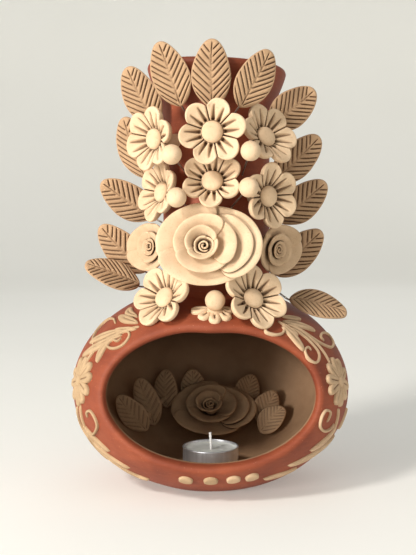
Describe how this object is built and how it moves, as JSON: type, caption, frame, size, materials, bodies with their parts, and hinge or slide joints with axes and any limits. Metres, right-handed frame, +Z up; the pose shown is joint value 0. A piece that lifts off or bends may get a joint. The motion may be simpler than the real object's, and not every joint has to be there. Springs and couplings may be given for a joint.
{
  "type": "clay tree of life candle holder",
  "caption": "Terracotta candle holder: a round pot with an oval mouth and a flared neck that carries a tree of cream clay flowers, roses, buds and leaves.",
  "frame": {"origin": "centre of the pot's flat base, on the surface that it stands on", "axes": "+Z up along the neck, -Y towards the pot's mouth and the flowers, +X to the viewer's right when facing the mouth"},
  "size_m": [0.195, 0.1761, 0.2994],
  "materials": {
    "terracotta": "burnished red clay, unglazed",
    "clay": "cream clay, unglazed and matte",
    "wire": "thin dull steel wire",
    "aluminium": "drawn foil, satin",
    "wax": "paraffin wax",
    "wick": "waxed cotton"
  },
  "bodies": {
    "vessel": {"pot_body": "terracotta", "neck": "terracotta", "flower_top_left": "clay", "flower_top_centre": "clay", "flower_top_right": "clay", "flower_mid_left": "clay", "flower_mid_centre": "clay", "flower_mid_right": "clay", "flower_low_left": "clay", "flower_low_right": "clay", "rose_centre": "clay", "rose_left": "clay", "rose_right": "clay", "rose_inner": "clay", "bud_low": "clay", "inner_leaves_left": "clay", "inner_leaves_right": "clay", "daisy_left": "clay", "daisy_right": "clay", "spray_upper_left": "clay", "spray_upper_right": "clay", "spray_lower_left": "clay", "spray_lower_right": "clay"},
    "tealight": {"tealight_cup": "aluminium", "tealight_wax": "wax", "tealight_wick": "wick"},
    "leaf_top_left": {"leaf_top_left": "clay", "leaf_top_left_wire": "wire"},
    "leaf_top_centre": {"leaf_top_centre": "clay", "leaf_top_centre_wire": "wire"},
    "leaf_top_right": {"leaf_top_right": "clay", "leaf_top_right_wire": "wire"},
    "leaf_left_1": {"leaf_left_1": "clay", "leaf_left_1_wire": "wire"},
    "leaf_left_2": {"leaf_left_2": "clay", "leaf_left_2_wire": "wire"},
    "leaf_left_3": {"leaf_left_3": "clay", "leaf_left_3_wire": "wire"},
    "leaf_left_4": {"leaf_left_4": "clay", "leaf_left_4_wire": "wire"},
    "leaf_left_5": {"leaf_left_5": "clay", "leaf_left_5_wire": "wire"},
    "leaf_right_1": {"leaf_right_1": "clay", "leaf_right_1_wire": "wire"},
    "leaf_right_2": {"leaf_right_2": "clay", "leaf_right_2_wire": "wire"},
    "leaf_right_3": {"leaf_right_3": "clay", "leaf_right_3_wire": "wire"},
    "leaf_right_4": {"leaf_right_4": "clay", "leaf_right_4_wire": "wire"},
    "leaf_right_5": {"leaf_right_5": "clay", "leaf_right_5_wire": "wire"},
    "bud_top_left": {"bud_top_left": "clay", "bud_top_left_wire": "wire"},
    "bud_top_right": {"bud_top_right": "clay", "bud_top_right_wire": "wire"},
    "bud_mid_left": {"bud_mid_left": "clay", "bud_mid_left_wire": "wire"},
    "bud_mid_right": {"bud_mid_right": "clay", "bud_mid_right_wire": "wire"}
  },
  "joints": [
    {"name": "tealight_lift", "type": "slide", "parent": "vessel", "child": "tealight", "axis": [0, -0.8, 0.6], "range_m": [0, 0.14]},
    {"name": "leaf_top_left_sway", "type": "hinge", "parent": "vessel", "child": "leaf_top_left", "pos_m": [-0.0154, -0.0351, 0.2547], "axis": [0.933, -0.25, 0.259], "range_deg": [-4, 4], "stiffness_Nm_per_rad": 0.2},
    {"name": "leaf_top_centre_sway", "type": "hinge", "parent": "vessel", "child": "leaf_top_centre", "pos_m": [0.0016, -0.0397, 0.2527], "axis": [1, 0, 0.009], "range_deg": [-4, 4], "stiffness_Nm_per_rad": 0.2},
    {"name": "leaf_top_right_sway", "type": "hinge", "parent": "vessel", "child": "leaf_top_right", "pos_m": [0.0149, -0.0384, 0.253], "axis": [0.8299, 0.3869, -0.4019], "range_deg": [-4, 4], "stiffness_Nm_per_rad": 0.2},
    {"name": "leaf_left_1_sway", "type": "hinge", "parent": "vessel", "child": "leaf_left_1", "pos_m": [-0.0295, -0.0183, 0.2445], "axis": [0.8689, -0.316, 0.381], "range_deg": [-4, 4], "stiffness_Nm_per_rad": 0.2},
    {"name": "leaf_left_2_sway", "type": "hinge", "parent": "vessel", "child": "leaf_left_2", "pos_m": [-0.0341, -0.0032, 0.2094], "axis": [0.8784, -0.4097, 0.2458], "range_deg": [-4, 4], "stiffness_Nm_per_rad": 0.2},
    {"name": "leaf_left_3_sway", "type": "hinge", "parent": "vessel", "child": "leaf_left_3", "pos_m": [-0.0341, 0.0026, 0.182], "axis": [0.5932, -0.159, 0.7892], "range_deg": [-4, 4], "stiffness_Nm_per_rad": 0.2},
    {"name": "leaf_left_4_sway", "type": "hinge", "parent": "vessel", "child": "leaf_left_4", "pos_m": [-0.0341, 0.0026, 0.143], "axis": [0.7501, -0.201, 0.6301], "range_deg": [-4, 1.5], "stiffness_Nm_per_rad": 0.2},
    {"name": "leaf_left_5_sway", "type": "hinge", "parent": "vessel", "child": "leaf_left_5", "pos_m": [-0.0333, -0.0083, 0.138], "axis": [0.1551, 0.7303, 0.6653], "range_deg": [-4, 4], "stiffness_Nm_per_rad": 0.2},
    {"name": "leaf_right_1_sway", "type": "hinge", "parent": "vessel", "child": "leaf_right_1", "pos_m": [0.0361, -0.0214, 0.243], "axis": [0.6289, 0.169, -0.7589], "range_deg": [-4, 4], "stiffness_Nm_per_rad": 0.2},
    {"name": "leaf_right_2_sway", "type": "hinge", "parent": "vessel", "child": "leaf_right_2", "pos_m": [0.0419, -0.0075, 0.207], "axis": [0.706, 0.257, -0.66], "range_deg": [-4, 4], "stiffness_Nm_per_rad": 0.2},
    {"name": "leaf_right_3_sway", "type": "hinge", "parent": "vessel", "child": "leaf_right_3", "pos_m": [0.0425, -0.0027, 0.1792], "axis": [0.6581, 0.176, -0.7321], "range_deg": [-4, 4], "stiffness_Nm_per_rad": 0.2},
    {"name": "leaf_right_4_sway", "type": "hinge", "parent": "vessel", "child": "leaf_right_4", "pos_m": [0.0425, -0.0027, 0.1411], "axis": [0.734, 0.197, -0.65], "range_deg": [-4, 4], "stiffness_Nm_per_rad": 0.2},
    {"name": "leaf_right_5_sway", "type": "hinge", "parent": "vessel", "child": "leaf_right_5", "pos_m": [0.0398, -0.0143, 0.138], "axis": [-0.1339, -0.7517, -0.6457], "range_deg": [-4, 4], "stiffness_Nm_per_rad": 0.2},
    {"name": "bud_top_left_sway", "type": "hinge", "parent": "vessel", "child": "bud_top_left", "pos_m": [-0.0138, -0.0339, 0.213], "axis": [0.8832, -0.4691, 0], "range_deg": [-2, 4], "stiffness_Nm_per_rad": 0.2},
    {"name": "bud_top_right_sway", "type": "hinge", "parent": "vessel", "child": "bud_top_right", "pos_m": [0.021, -0.0345, 0.214], "axis": [0.899, 0.438, 0], "range_deg": [-4, 4], "stiffness_Nm_per_rad": 0.2},
    {"name": "bud_mid_left_sway", "type": "hinge", "parent": "vessel", "child": "bud_mid_left", "pos_m": [-0.0102, -0.0356, 0.189], "axis": [0.927, -0.375, 0], "range_deg": [-1.5, 1], "stiffness_Nm_per_rad": 0.2},
    {"name": "bud_mid_right_sway", "type": "hinge", "parent": "vessel", "child": "bud_mid_right", "pos_m": [0.0135, -0.0373, 0.192], "axis": [0.9703, 0.2421, 0], "range_deg": [-4, 4], "stiffness_Nm_per_rad": 0.2}
  ]
}
